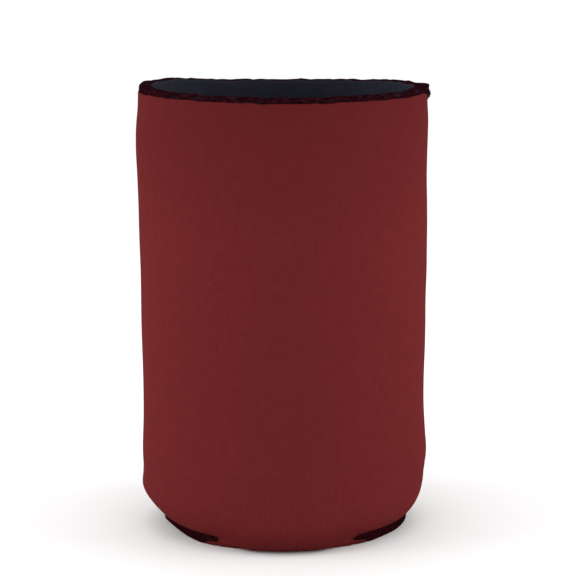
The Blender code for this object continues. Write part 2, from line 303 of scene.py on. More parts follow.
def tucked_part(azimuth):
    """The wall tucks in to its lip, and the rows of the roll cross the slit to the rim of the base."""
    curl = slit_curl(azimuth)
    droop = round_the_sleeve(azimuth, LIP_DROOP)[:, None]
    centre = (WALL_RADIUS - HEEL_RADIUS, HEEL_HEIGHT)
    angle = (TUCK_ANGLE * np.arange(1, HEEL_ROWS + 1) / HEEL_ROWS)[None, :]
    lowering = droop * (angle / TUCK_ANGLE) ** 2
    heel = []
    for radius in (HEEL_RADIUS, HEEL_RADIUS - SHEET):
        across, height = arc(centre, radius, angle)
        heel.append((across + 0 * lowering, height - lowering))
    share = (np.arange(1, ROLL_ROWS + 1) / ROLL_ROWS)[None, :]
    rim_radius, rim_height = BASE_RADIUS + CURL_SPREAD * curl, CURL_HEIGHT * curl
    cloth_roll = (
        rim_radius + (LIP_RADIUS - rim_radius) * np.cos(QUARTER * share),
        rim_height + (LIP_HEIGHT - droop - rim_height) * (1 - np.sin(QUARTER * share)),
    )
    lip_inside = (heel[LINING][0][:, -1:], heel[LINING][1][:, -1:])
    rim_inside = (BASE_RADIUS - CURL_INWARD * rim_height, SHEET - EDGE_PINCH + rim_height / 2)
    lining_roll = tuple(a + (b - a) * share for a, b in zip(lip_inside, rim_inside))
    return stacked(heel[CLOTH], cloth_roll), stacked(heel[LINING], lining_roll)


lip_in_front = [part[0, HEEL_ROWS - 1] for part in tucked_part(np.zeros(1))[CLOTH]]
print("radius and height of the lip in front:", [round(float(value), 5) for value in lip_in_front])

# %% Rows of the round fold
def folded_part():
    """The wall turns under in one round fold."""
    centre = (WALL_RADIUS - FOLD_RADIUS, FOLD_RADIUS)
    straight = HEEL_HEIGHT - FOLD_RADIUS
    along = (straight + FOLD_RADIUS * QUARTER / 2) * np.arange(1, HEEL_ROWS + 1) / HEEL_ROWS
    angle = np.maximum(along - straight, 0.0) / FOLD_RADIUS
    angle = np.concatenate([angle, QUARTER / 2 * (1 + np.arange(1, ROLL_ROWS + 1) / ROLL_ROWS)])
    drop = np.concatenate([np.maximum(straight - along, 0.0), np.zeros(ROLL_ROWS)])
    sides = []
    for radius in (FOLD_RADIUS, FOLD_RADIUS - SHEET):
        across, height = arc(centre, radius, angle)
        sides.append((across[None, :], (height + drop)[None, :]))
    return sides


print("radius where the fold meets the base:", round(float(folded_part()[CLOTH][0][0, -1]), 5))

# %% Rings of the base
RING_STEPS = np.array([0.2, 0.4, 0.6, 0.85, 1.2, 1.8, 2.7, 4.2, 6.4, 9.4, 13.4, 18.0, 23.0, 27.6]) * MM
CURL_LEAD = 0.06
CURL_DEPTH = 0.0010
CURL_FADE = 0.0040
INWARD_FADE = 0.0048
PINCH_FADE = 0.0030


def from_rim(reach):
    """1 at the rim, fading away over this reach along the rings."""
    return np.clip(1 - RING_STEPS / reach, 0, 1)


def base_part(azimuth, side):
    """Rings from the rim inwards. Near the ends of a slit the margin curls up to the rim."""
    in_slit = smooth((from_neck(azimuth) - NECK_HALF_ANGLE + CURL_LEAD) / CURL_LEAD)[:, None]
    curl = slit_curl(azimuth) * in_slit
    radius = BASE_RADIUS - RING_STEPS[None, :] + 0 * curl
    if side == CLOTH:
        radius = radius + CURL_SPREAD * curl * from_rim(CURL_FADE)
        return radius, CURL_HEIGHT * curl * from_rim(CURL_DEPTH) ** 2
    pinch = EDGE_PINCH * from_rim(PINCH_FADE)
    lifted = CURL_HEIGHT / 2 * curl * from_rim(CURL_FADE) ** 2
    inward = CURL_INWARD * CURL_HEIGHT * curl * from_rim(INWARD_FADE)
    return radius - inward, SHEET - pinch + lifted


print("rings of the base:", len(RING_STEPS))

# %% [markdown]
# A seam pulls both edges of the cloth down into a valley, and the last 0.7 mm of each panel rolls in, so
# that the seam reads as a dark line between two soft banks. The needle holes sit in small dimples. Near
# the mouth the valley gets shallower.

# %% Seams
SEAM_GAP = 0.0003
STITCH_WIDTH = 0.0040
STITCH_LENGTH = 0.0027
STITCH_START = 0.0015
STITCH_END = 0.0012
TACKS = 2
TACK_WIDTH = 0.0012
DIMPLE_DEPTH = 0.00034
DIMPLE_RADIUS = 0.00050
DIMPLE_REACH = 0.0042


def seam_distance(azimuth):
    """How far round the wall the nearer seam is."""
    return WALL_RADIUS * (QUARTER - from_neck(azimuth))


def seam_offset(azimuth):
    """The same with a sign: over 0 on the side that comes later round the wall."""
    return WALL_RADIUS * ((azimuth % math.pi) - QUARTER)


def needle_holes(length):
    """(offset, length down the seam) of each needle hole, from the mouth down."""
    usable = length - STITCH_START - STITCH_END
    crossings = max(int(usable / STITCH_LENGTH), 2)
    holes = []
    for crossing in range(crossings + 1):
        width = TACK_WIDTH if crossing < TACKS else STITCH_WIDTH / 2
        holes.append((width if crossing % 2 else -width, STITCH_START + usable / crossings * crossing))
    return holes


def lengths_down(radius, height):
    """Length down each column from its first row."""
    steps = np.hypot(np.diff(radius, axis=1), np.diff(height, axis=1))
    return np.concatenate([np.zeros((len(radius), 1)), np.cumsum(steps, axis=1)], axis=1)


def dimples(azimuth, along):
    """Depth of the needle's dimples, for columns near a seam."""
    depth = np.zeros(along.shape)
    near = seam_distance(azimuth) < DIMPLE_REACH
    offset = seam_offset(azimuth[near])[:, None]
    for hole_offset, hole_along in needle_holes(float(np.max(along[:, LIP_ROW]))):
        away = (offset - hole_offset) ** 2 + (along[near] - hole_along) ** 2
        depth[near] += DIMPLE_DEPTH * np.exp(-away / DIMPLE_RADIUS**2)
    return depth


print("needle holes in a seam as long as the wall:", len(needle_holes(MOUTH_HEIGHT)))

# %% The whole section
FOLD_MIX = 0.6
VALLEY_DEPTH = 0.0008
VALLEY_LINING_DEPTH = 0.0004
VALLEY_REACH = 0.0032
ROLLED_WIDTH = 0.0007
ROLLED_DEPTH = 0.0005
ROLLED_LINING_DEPTH = 0.0003
SHALLOW_SHARE = 0.8
SHALLOW_START = 0.1030
SHALLOW_REACH = 0.0060


def section(azimuth, side):
    """Radius and height of one side of the sheet, (columns, rows), from the mouth to the innermost ring."""
    wall = wall_part(azimuth)[side]
    share = smooth((1 - from_neck(azimuth) / NECK_HALF_ANGLE) / FOLD_MIX)[:, None]
    tucked, folded = tucked_part(azimuth)[side], folded_part()[side]
    below = tuple(a + (b - a) * share for a, b in zip(tucked, folded))
    radius, height = stacked(wall, below, base_part(azimuth, side))
    rows = np.arange(radius.shape[1])[None, :]
    in_base = np.clip((rows - LIP_ROW) / ROLL_ROWS, 0, 1)
    edge_share = np.where(rows > RIM_ROW, radius / BASE_RADIUS, 1.0)
    radius = radius + (1 - in_base) * wall_stand(azimuth[:, None], height)
    radius = radius + in_base * round_the_sleeve(azimuth, BASE_REACH)[:, None] * edge_share
    on_wall = rows <= LIP_ROW
    distance = seam_distance(azimuth)[:, None]
    valley = np.exp(-((distance / VALLEY_REACH) ** 2))
    rolled = np.clip(1 - (distance - SEAM_GAP / 2) / ROLLED_WIDTH, 0, 1) ** 2
    if side == CLOTH:
        shallow = 1 - SHALLOW_SHARE * smooth((height - SHALLOW_START) / SHALLOW_REACH)
        radius = radius - on_wall * (VALLEY_DEPTH * valley + ROLLED_DEPTH * rolled) * shallow
    else:
        radius = radius + on_wall * (VALLEY_LINING_DEPTH * valley + ROLLED_LINING_DEPTH * rolled)
    dip = dimples(azimuth, lengths_down(radius, height))
    return radius + on_wall * dip * (-1 if side == CLOTH else 1), height


mouth_in_front = [part[0, 0] for part in section(np.zeros(1), CLOTH)]
print("radius and height of the mouth in front:", [round(float(value), 5) for value in mouth_in_front])

# %% [markdown]
# The section is swept over columns that stand close together where the form is tight: at the seams, and
# at the ends of the slits. The end of a slit is a rounded cut, so the columns there bow round it.

# %% Columns
NECK_COLUMNS = 20
SLIT_COLUMNS = 26
SEAM_COLUMNS = np.array([0.05, 0.25, 0.45, 0.7, 1.05, 1.45, 1.9, 2.4, 2.95, 3.6, 4.4, 5.4, 6.6]) * MM
SLIT_END_BOW = {"left": 0.0018, "right": 0.0024}
SLIT_END_ADVANCE = {"left": 0.0003, "right": 0.0006}
BOW_REACH_ACROSS = 0.0035
BOW_REACH_ROUND = 0.0050


def column_azimuths():
    """The azimuth of each column: from the left seam over the front to the right seam, then over the back."""
    seam = QUARTER - (SEAM_GAP / 2 + np.flip(SEAM_COLUMNS) - SEAM_COLUMNS[0]) / WALL_RADIUS
    neck = np.linspace(0, NECK_HALF_ANGLE, NECK_COLUMNS + 1)
    slit = np.linspace(NECK_HALF_ANGLE, seam[0], SLIT_COLUMNS + 1)[1:]
    right = np.concatenate([neck, slit, seam[1:]])
    panel = np.concatenate([-right[:0:-1], right])
    return np.concatenate([panel, math.pi + panel])


def slit_end_shift(azimuth, radius, height):
    """How far round each point moves, so that the blind end of a slit is round."""
    rows = np.arange(radius.shape[1])[None, :]
    across = np.clip(2 * (rows - LIP_ROW) / ROLL_ROWS - 1, -1, 1)
    bow = 1 - np.sqrt(1 - across**2)
    along = lengths_down(radius, height)
    above = np.maximum(along[:, LIP_ROW : LIP_ROW + 1] - along, 0)
    below = np.maximum(along - along[:, RIM_ROW : RIM_ROW + 1], 0)
    fade_across = smooth(1 - np.maximum(above, below) / BOW_REACH_ACROSS)
    beside = (from_neck(azimuth) - NECK_HALF_ANGLE) * BASE_RADIUS
    fade_beside = smooth(1 - np.abs(beside) / BOW_REACH_ROUND)[:, None]
    towards_seam = np.sign(np.sin(2 * azimuth))[:, None]
    on_left = (np.sin(azimuth) < 0)[:, None]
    reach = bow * np.where(on_left, SLIT_END_BOW["left"], SLIT_END_BOW["right"])
    reach = reach - np.where(on_left, SLIT_END_ADVANCE["left"], SLIT_END_ADVANCE["right"])
    return reach / BASE_RADIUS * fade_across * fade_beside * towards_seam


def side_points(azimuth, side):
    """Places of one side of the sheet, (columns, rows, 3)."""
    radius, height = section(azimuth, side)
    turned = azimuth[:, None] + slit_end_shift(azimuth, radius, height)
    return np.stack([radius * np.sin(turned), -radius * np.cos(turned), height], axis=2)


azimuths = column_azimuths()
cloth_points = side_points(azimuths, CLOTH)
lining_points = side_points(azimuths, LINING)
print("columns and rows:", cloth_points.shape[:2])

# %% [markdown]
# A knit has to lie on the cloth the way that it lay on the flat blank, or the stitches would crowd
# together towards the middle of the base. Each point therefore keeps its place on the flat blank, as an
# attribute of the mesh. The same lengths give the size that the sheet was cut to.

# %% Places on the flat blank
def blank_places(azimuth, radius, height):
    """Where each point lay on the flat blank: across the panel, and down from the front's mouth."""
    along = lengths_down(radius, height)
    panel_length = float(along[0, RIM_ROW])
    turn = ((azimuth + QUARTER) % math.pi - QUARTER)[:, None]
    back = (np.cos(azimuth) < 0)[:, None]
    x = radius * np.sin(azimuth)[:, None]
    y = -radius * np.cos(azimuth)[:, None]
    wall_across = np.where(back, -1, 1) * WALL_RADIUS * turn
    base_down = panel_length + y + BASE_RADIUS
    wall_down = np.where(back, 2 * (panel_length + BASE_RADIUS) - along, along)
    rows = np.arange(radius.shape[1])[None, :]
    in_neck = from_neck(azimuth)[:, None] < NECK_HALF_ANGLE
    share = smooth((rows - WALL_ROWS) / (RIM_ROW - WALL_ROWS)) * in_neck
    share = np.where(rows >= RIM_ROW, 1.0, share)
    across = wall_across + (x - wall_across) * share
    down = wall_down + (base_down - wall_down) * share
    return np.stack([across, down, 0 * down], axis=2), panel_length


cloth_blank, cloth_length = blank_places(azimuths, *section(azimuths, CLOTH))
lining_blank, lining_length = blank_places(azimuths, *section(azimuths, LINING))

# %% [markdown]
# The two sides become one closed mesh. Wherever the cloth has an open edge, a strip of foam joins it to
# the lining: at the mouth, down both seams, and along the slits. A grid of quads covers each side, and the
# cells over a slit or a seam are left out of it.

# %% Faces of the cloth and of the lining
JUST_UNDER = 0.99


def sheet_cells(azimuth, rows):
    """Quads of a grid of columns and rows, without the cells that lie over a slit or a seam."""
    following = np.roll(azimuth, -1)
    middle = azimuth + ((following - azimuth) % (2 * math.pi)) / 2
    across_seam = QUARTER - from_neck(middle) < SEAM_GAP / 2 / WALL_RADIUS * JUST_UNDER
    in_neck = from_neck(middle) < NECK_HALF_ANGLE
    cells = []
    for column in range(len(azimuth)):
        beside = (column + 1) % len(azimuth)
        for row in range(rows - 1):
            if row < RIM_ROW and (across_seam[column] or (row >= LIP_ROW and not in_neck[column])):
                continue
            first, second = column * rows + row, beside * rows + row
            cells.append((first, first + 1, second + 1, second))
    return cells


columns, rows = cloth_points.shape[:2]
cells = sheet_cells(azimuths, rows)
cloth_middle = columns * rows
side_count = cloth_middle + 1
fans = [
    (column * rows + rows - 1, cloth_middle, ((column + 1) % columns) * rows + rows - 1)
    for column in range(columns)
]
cloth_faces = cells + fans
lining_faces = [tuple(side_count + vertex for vertex in reversed(face)) for face in cloth_faces]
print("faces on one side:", len(cloth_faces))

# %% Open edges of the cloth
TINY = 1e-9


def unit(vectors):
    """The same directions, each one metre long."""
    return vectors / np.maximum(np.linalg.norm(vectors, axis=1), TINY)[:, None]


directed = {}
for face in cloth_faces:
    for start, end in zip(face, face[1:] + face[:1]):
        directed[start, end] = face
open_edges = [edge for edge in directed if (edge[1], edge[0]) not in directed]
edge_vertices = sorted({vertex for edge in open_edges for vertex in edge})

middle_cloth = np.array([[0.0, 0.0, 0.0]])
middle_lining = np.array([[0.0, 0.0, SHEET]])
flat_cloth = np.concatenate([cloth_points.reshape(-1, 3), middle_cloth])
flat_lining = np.concatenate([lining_points.reshape(-1, 3), middle_lining])

away = np.zeros_like(flat_cloth)
for edge in open_edges:
    face = directed[edge]
    centre = flat_cloth[list(face)].mean(axis=0)
    for vertex in edge:
        away[vertex] += flat_cloth[vertex] - centre
thickness = unit(flat_lining - flat_cloth)
away = unit(away - thickness * np.sum(away * thickness, axis=1)[:, None])
print("points on open edges:", len(edge_vertices))

# %% [markdown]
# The strip of foam isn't flat. A knife leaves foam rubber standing a little proud at the mouth, and
# slightly bulged at the slits. At the seams, the right one most of all, the foam also flares out over the
# cloth's edge in a small ear. Down the seams the stitches press the two cut faces together, so each bulges
# to the middle of the hairline and no light comes through.
#
# Each profile goes from the cloth (0) to the lining (1), with how far the foam stands there in millimetres.
# The flare is in millimetres too, by degrees from the front.

# %% Profiles of the cut foam
MOUTH_STRIP = [
    (0.00, 0.00), (0.03, 0.05), (0.07, 0.07), (0.08, 0.60), (0.10, 1.15), (0.17, 1.42), (0.38, 1.50),
    (0.70, 1.46), (0.90, 1.36), (1.00, 1.19),
]
SLIT_STRIP = [
    (0.00, 0.00), (0.02, 0.04), (0.05, 0.07), (0.15, 0.11), (0.30, 0.15), (0.50, 0.16), (0.68, 0.14),
    (0.84, 0.10), (0.95, 0.05), (1.00, 0.00),
]
CORNER_FLARE = [
    (-180, 0.0), (-106, 0.0), (-92, 0.12), (-78, 0.0), (0, 0.0), (74, 0.0), (84, 0.78), (94, 0.78),
    (108, 0.0), (180, 0.0),
]
STRIP_STEPS = len(MOUTH_STRIP)
print("steps across a strip:", STRIP_STEPS)

# %% Foam at the mouth
EDGE_UNEVEN = 0.025
CRUMB_UNEVEN = 0.02
EAR_SHARE = 0.05
EAR_END = 0.3
FLARE_STAND = 0.6
FLARE_RISE = 0.8
FLARE_SHARE = 0.6
FLARE_BELOW = 0.7
FLARE_ABOVE = 0.3
CLOSED_STAND = 0.4
CUT_SEED = 5

cut = np.random.default_rng(CUT_SEED)
seam_columns = np.flatnonzero(seam_distance(azimuths) < SEAM_GAP)


def mouth_strip(column, start, end):
    """Places of the foam from the cloth to the lining, in the cut at the mouth."""
    azimuth = azimuths[column]
    outward = np.array([math.sin(azimuth), -math.cos(azimuth), 0.0])
    uneven = cut.normal(0, EDGE_UNEVEN)
    seam_stand = float(round_the_sleeve(azimuth, SEAM_STAND))
    flare = float(round_the_sleeve(azimuth, CORNER_FLARE))
    closing = np.array([math.cos(azimuth), math.sin(azimuth), 0.0])
    closing *= -np.sign(seam_offset(azimuth)) * SEAM_GAP / 2 * (column in seam_columns)
    places = []
    for share, stand in MOUTH_STRIP[1:-1]:
        if EAR_SHARE < share < EAR_END:
            share += (EAR_SHARE - share) * smooth(flare / MM)
        place = start + (end - start) * share
        free = smooth(stand)
        top = start[2] + seam_stand * free + (stand + (uneven + cut.normal(0, CRUMB_UNEVEN)) * free) * MM
        near_cloth = smooth((FLARE_SHARE - share) / FLARE_SHARE)
        height_share = FLARE_BELOW + FLARE_ABOVE * smooth((stand - FLARE_STAND) / FLARE_RISE)
        outer = smooth(stand / FLARE_STAND) * near_cloth * height_share
        out = flare * outer + cut.normal(0, CRUMB_UNEVEN) * MM
        place = np.array([place[0], place[1], top]) + outward * out
        places.append(place + closing * smooth(stand / CLOSED_STAND))
    return places


print("columns beside a seam:", len(seam_columns))

# %% Foam along the slits and down the seams
SEAM_BULGE_RISE = 0.6
STRIP_STEP = 0.0004


def slit_strip(start, end, outward, at_seam):
    """Places of the foam from the cloth to the lining, along a slit or down a seam."""
    places = []
    for share, stand in SLIT_STRIP[1:-1]:
        bulge = (stand + cut.normal(0, CRUMB_UNEVEN)) * MM
        if at_seam:
            bulge = SEAM_GAP / 2 * smooth(4 * share * (1 - share) / SEAM_BULGE_RISE)
        places.append(start + (end - start) * share + outward * bulge)
    return places


strip_points, strip_blank, strip_of = [], [], {}
flat_blank = np.concatenate([cloth_blank.reshape(-1, 3), [[0.0, cloth_length + BASE_RADIUS, 0.0]]])
for vertex in edge_vertices:
    column, row = divmod(vertex, rows)
    start, end = flat_cloth[vertex], flat_lining[vertex]
    if row == 0:
        places = mouth_strip(column, start, end)
    else:
        at_seam = column in seam_columns and row <= LIP_ROW
        places = slit_strip(start, end, away[vertex], at_seam)
    first = 2 * side_count + len(strip_points)
    strip_of[vertex] = [vertex, *range(first, first + len(places)), side_count + vertex]
    strip_points += places
    strip_blank += [flat_blank[vertex] + [0.0, 0.0, step * STRIP_STEP] for step in range(1, STRIP_STEPS - 1)]

strip_faces, strip_steps = [], []
for start, end in open_edges:
    first, second = strip_of[start], strip_of[end]
    for step in range(STRIP_STEPS - 1):
        strip_faces.append((second[step], first[step], first[step + 1], second[step + 1]))
        strip_steps.append(step)
print("strip faces:", len(strip_faces))

# %% [markdown]
# The jersey wraps round the cut edge a little, so the first cells of a strip are still jersey. The rest of
# the strip is bare foam. Slots keep the three finishes apart in one mesh.

# %% The sleeve
CLOTH_CELLS = 2
JERSEY_SLOT, FOAM_SLOT, LINING_SLOT = 0, 1, 2


def mesh_piece(name, points, faces):
    """A smooth mesh object from points and faces."""
    mesh = bpy.data.meshes.new(name)
    mesh.from_pydata([tuple(point) for point in points], [], faces)
    mesh.polygons.foreach_set("use_smooth", np.ones(len(faces), bool))
    mesh.update()
    piece = bpy.data.objects.new(name, mesh)
    bpy.context.scene.collection.objects.link(piece)
    return piece


sleeve_points = np.concatenate([flat_cloth, flat_lining, np.array(strip_points)])
lining_flat_blank = np.concatenate([lining_blank.reshape(-1, 3), [[0.0, lining_length + BASE_RADIUS, 0.0]]])
sleeve_blank = np.concatenate([flat_blank, lining_flat_blank, np.array(strip_blank)])
sleeve_slots = np.concatenate(
    [
        np.full(len(cloth_faces), JERSEY_SLOT),
        np.full(len(lining_faces), LINING_SLOT),
        [JERSEY_SLOT if step < CLOTH_CELLS else FOAM_SLOT for step in strip_steps],
    ]
)
sleeve = mesh_piece("folded_sleeve", sleeve_points, cloth_faces + lining_faces + strip_faces)
blank = sleeve.data.attributes.new("blank", "FLOAT_VECTOR", "POINT")
blank.data.foreach_set("vector", sleeve_blank.astype(np.float32).ravel())
print("sleeve faces:", len(sleeve.data.polygons))

# %% [markdown]
# In the picture a thread's twist is only a fine texture, but at a seam seen from the side the stitches are
# what holds the eye. Each thread dives into a needle hole, comes up again and crosses to the next hole.
# Near the mouth the top threads are pulled tight and sink into the cloth. At the right seam the top thread
# starts in a knot, a tight winding that is widest near its middle. A thread's tube has three soft lobes that
# wind round it, as three-ply thread has.

# %% Places on a seam
TABLE_REACH = 0.0030
TABLE_COLUMNS = 41
TABLE_END = 1.001


def seam_table(seam, side):
    """Lengths, places and outward directions on a fine grid of offsets beside this seam."""
    offsets = np.linspace(-TABLE_REACH, TABLE_REACH, TABLE_COLUMNS)
    azimuth = seam + offsets / WALL_RADIUS
    radius, height = section(azimuth, side)
    radius, height = radius[:, : LIP_ROW + 1], height[:, : LIP_ROW + 1]
    down = np.stack([np.gradient(radius, axis=1), np.gradient(height, axis=1)], axis=2)
    down /= np.linalg.norm(down, axis=2)[:, :, None]
    out = np.stack([-down[:, :, 1], down[:, :, 0]], axis=2) * (1 if side == CLOTH else -1)
    return offsets, lengths_down(radius, height), radius, height, out


def seam_length(table):
    """Length down the middle of the seam."""
    return float(table[1][TABLE_COLUMNS // 2, -1])


def seam_place(table, seam, offset, share, stand):
    """A place over the seam: this far beside it, this share of the way down and this far off the surface."""
    offsets, lengths, radius, height, out = table
    at = np.clip((offset - offsets[0]) / (offsets[1] - offsets[0]), 0, len(offsets) - TABLE_END)
    low = int(at)
    found = []
    for column, weight in ((low, 1 - (at - low)), (low + 1, at - low)):
        along = lengths[column, -1] * share
        r = np.interp(along, lengths[column], radius[column])
        z = np.interp(along, lengths[column], height[column])
        out_r = np.interp(along, lengths[column], out[column, :, 0])
        out_z = np.interp(along, lengths[column], out[column, :, 1])
        found.append(weight * np.array([r + out_r * stand, z + out_z * stand]))
    r, z = found[0] + found[1]
    azimuth = seam + offset / WALL_RADIUS
    return np.array([r * math.sin(azimuth), -r * math.cos(azimuth), z])


print("length of the right seam:", round(seam_length(seam_table(QUARTER, CLOTH)), 4))

# %% The knot
KNOT_TURNS = 8
KNOT_POINTS = 144
KNOT_RISE = 0.0021
KNOT_LENGTH = 0.0036
KNOT_OFFSET = -0.0004
KNOT_HALF_WIDTH = 0.00062
KNOT_SEAT = -0.00008
KNOT_STAND = 0.00047
KNOT_HALF_DEPTH = 0.00050
KNOT_TIP = 0.10
KNOT_BELLY = 0.90
KNOT_BELLY_DROP = 1.25


def knot_route(table, seam):
    """Points of the tight winding at the top of a thread, from its tip down."""
    out = np.array([math.sin(seam), -math.cos(seam), 0.0])
    points = []
    for share in np.linspace(0, 1, KNOT_POINTS):
        turn = 2 * math.pi * KNOT_TURNS * share
        belly = KNOT_TIP + KNOT_BELLY * math.sin(math.pi * share**KNOT_BELLY_DROP)
        beside = KNOT_OFFSET + KNOT_HALF_WIDTH * belly * math.cos(turn)
        proud = KNOT_SEAT + belly * (KNOT_STAND + KNOT_HALF_DEPTH * math.sin(turn))
        drop = KNOT_RISE - KNOT_LENGTH * share
        points.append(seam_place(table, seam, beside, 0.0, 0.0) + out * proud + [0.0, 0.0, drop])
    return points


print("knot:", KNOT_TURNS, "turns over", KNOT_LENGTH)

# %% Route of one thread
THREAD_SEED = 3
HOLE_DEPTH = 0.0009
HOLE_HALF_LENGTH = 0.00015
HOLE_STAND = 0.00008
STITCH_INSET = 0.90
CROSSING_PARTS = (0.2, 0.4, 0.6, 0.8)
CROSSING_STAND = 0.00016
CROSSING_ARCH = 0.00016
TIGHT_DEPTH = 0.00036
TIGHT_LENGTH = 0.0079
TIGHT_FADE = 0.0060
UNEVEN_LENGTH = 0.00009
UNEVEN_WIDTH = 0.00007


def thread_route(seam, side, knot):
    """Points of the thread, down the seam from hole to hole."""
    table = seam_table(seam, side)
    length = seam_length(table)
    uneven = np.random.default_rng(THREAD_SEED + side)
    route = knot_route(table, seam) if knot else []
    holes = needle_holes(length)
    for index, (offset, along) in enumerate(holes):
        share = (along + uneven.normal(0, UNEVEN_LENGTH)) / length
        offset = offset + uneven.normal(0, UNEVEN_WIDTH)
        sunk = TIGHT_DEPTH * float(smooth((TIGHT_LENGTH - along) / TIGHT_FADE)) * (side == CLOTH)
        rim, beside = HOLE_HALF_LENGTH / length, offset * STITCH_INSET
        route.append(seam_place(table, seam, beside, share - rim, HOLE_STAND - sunk))
        route.append(seam_place(table, seam, offset, share, -HOLE_DEPTH))
        route.append(seam_place(table, seam, beside, share + rim, HOLE_STAND - sunk))
        if index + 1 < len(holes):
            next_offset, next_along = holes[index + 1]
            for part in CROSSING_PARTS:
                beside = offset * STITCH_INSET + (next_offset - offset) * STITCH_INSET * part
                down = (along + (next_along - along) * part) / length
                stand = CROSSING_STAND + CROSSING_ARCH * math.sin(math.pi * part) - sunk
                route.append(seam_place(table, seam, beside, down, stand))
    return np.array(route)


print("points on a thread's route:", len(thread_route(QUARTER, LINING, knot=False)))

# %% A soft, even route
ROUTE_STEP = 0.00022
ROUNDINGS = 2
CORNER_CUT = 0.25


def rounded_route(route):
    """The same route with soft corners and even steps, and its length."""
    for _ in range(ROUNDINGS):
        quarter = route[:-1] * (1 - CORNER_CUT) + route[1:] * CORNER_CUT
        later = route[:-1] * CORNER_CUT + route[1:] * (1 - CORNER_CUT)
        between = np.stack([quarter, later], axis=1).reshape(-1, 3)
        route = np.concatenate([route[:1], between, route[-1:]])
    lengths = np.concatenate([[0.0], np.cumsum(np.linalg.norm(np.diff(route, axis=0), axis=1))])
    even = np.linspace(0, lengths[-1], int(lengths[-1] / ROUTE_STEP))
    return np.stack([np.interp(even, lengths, route[:, axis]) for axis in range(3)], axis=1), lengths[-1]


# %% Twisted tubes along the routes
THREAD_RADIUS = 0.00021
THREAD_SIDES = 10
THREAD_LAY = 0.0011
LOBES = 3
LOBE_DEPTH = 0.16


def twisted_thread(name, route, length):
    """A closed tube of soft lobes that wind round the route once in each lay."""
    ahead = np.gradient(route, axis=0)
    ahead /= np.linalg.norm(ahead, axis=1)[:, None]
    side_way = np.cross(ahead[0], [0.0, 0.0, 1.0])
    points, faces = [], []
    for index, (place, direction) in enumerate(zip(route, ahead)):
        side_way = side_way - direction * np.dot(side_way, direction)
        side_way = side_way / np.linalg.norm(side_way)
        other_way = np.cross(direction, side_way)
        turn = 2 * math.pi * length * index / len(route) / THREAD_LAY
        for corner in range(THREAD_SIDES):
            angle = 2 * math.pi * corner / THREAD_SIDES
            reach = THREAD_RADIUS * (1 + LOBE_DEPTH * math.cos(LOBES * (angle - turn)))
            points.append(place + reach * (side_way * math.cos(angle) + other_way * math.sin(angle)))
    last = (len(route) - 1) * THREAD_SIDES
    for low in range(0, last, THREAD_SIDES):
        high = low + THREAD_SIDES
        for corner in range(THREAD_SIDES):
            beside = (corner + 1) % THREAD_SIDES
            faces.append((low + corner, low + beside, high + beside, high + corner))
    faces.append(tuple(reversed(range(THREAD_SIDES))))
    faces.append(tuple(range(last, last + THREAD_SIDES)))
    return mesh_piece(name, points, faces)


threads = {}
for hand, seam in (("left", -QUARTER), ("right", QUARTER)):
    for side, kind in ((CLOTH, "top"), (LINING, "bobbin")):
        knot = hand == "right" and kind == "top"
        route, length = rounded_route(thread_route(seam, side, knot))
        threads[f"{hand}_seam_{kind}_thread"] = twisted_thread(f"{hand}_{kind}_stitching", route, length)
        print(hand, kind, "thread length:", round(length, 3))

# %% [markdown]
# The jersey is a single knit: columns of V stitches a little over half a millimetre wide. At this distance
# it shows as a soft, matt surface with faint rows, so the stitches' own shade matters more than their
# bump. The knit is drawn from the flat-blank places with a few Math nodes. A Wave Texture would be
# quicker, but it can't draw the two legs of a V stitch.

# %% Node helpers
def new_finish(name, color, roughness):
    """A material with its shader and its tree."""
    material = bpy.data.materials.new(name)
    material.use_nodes = True
    tree = material.node_tree
    shader = tree.nodes["Principled BSDF"]
    shader.inputs["Base Color"].default_value = (*color, 1.0)
    shader.inputs["Roughness"].default_value = roughness
    shader.inputs["Specular IOR Level"].default_value = 0.3
    material.diffuse_color = (*color, 1.0)
    return material, tree, shader


def math_of(tree, kind, *values):
    """The result of one Math node."""
    node = tree.nodes.new("ShaderNodeMath")
    node.operation = kind
    for socket, value in zip(node.inputs, values):
        if isinstance(value, (int, float)):
            socket.default_value = value
        else:
            tree.links.new(value, socket)
    return node.outputs[0]


def noise_of(tree, place, scale, detail=2.0, roughness=0.5):
    """The strength of a Noise Texture at this place."""
    node = tree.nodes.new("ShaderNodeTexNoise")
    node.inputs["Scale"].default_value = scale
    node.inputs["Detail"].default_value = detail
    node.inputs["Roughness"].default_value = roughness
    tree.links.new(place, node.inputs["Vector"])
    return node.outputs["Fac"]


def ranged(tree, value, low, high, to_low, to_high):
    """The value moved from one range to another, and kept inside it."""
    node = tree.nodes.new("ShaderNodeMapRange")
    for name, amount in (("From Min", low), ("From Max", high), ("To Min", to_low), ("To Max", to_high)):
        node.inputs[name].default_value = amount
    tree.links.new(value, node.inputs["Value"])
    return node.outputs["Result"]


def blended(tree, share, first, second):
    """Two colours mixed by a share. A colour is three numbers or a socket."""
    node = tree.nodes.new("ShaderNodeMix")
    node.data_type = "RGBA"
    tree.links.new(share, node.inputs["Factor"])
    for socket, color in ((node.inputs[6], first), (node.inputs[7], second)):
        if isinstance(color, tuple):
            socket.default_value = (*color, 1.0)
        else:
            tree.links.new(color, socket)
    return node.outputs[2]


def flecked(tree, place, shade, color, amount, noise, edge):
    """A shade with flecks of a colour. The noise is (scale, detail, roughness), and edge is its range."""
    flecks = ranged(tree, noise_of(tree, place, *noise), *edge, 0.0, 1.0)
    return blended(tree, math_of(tree, "MULTIPLY", flecks, amount), shade, color)


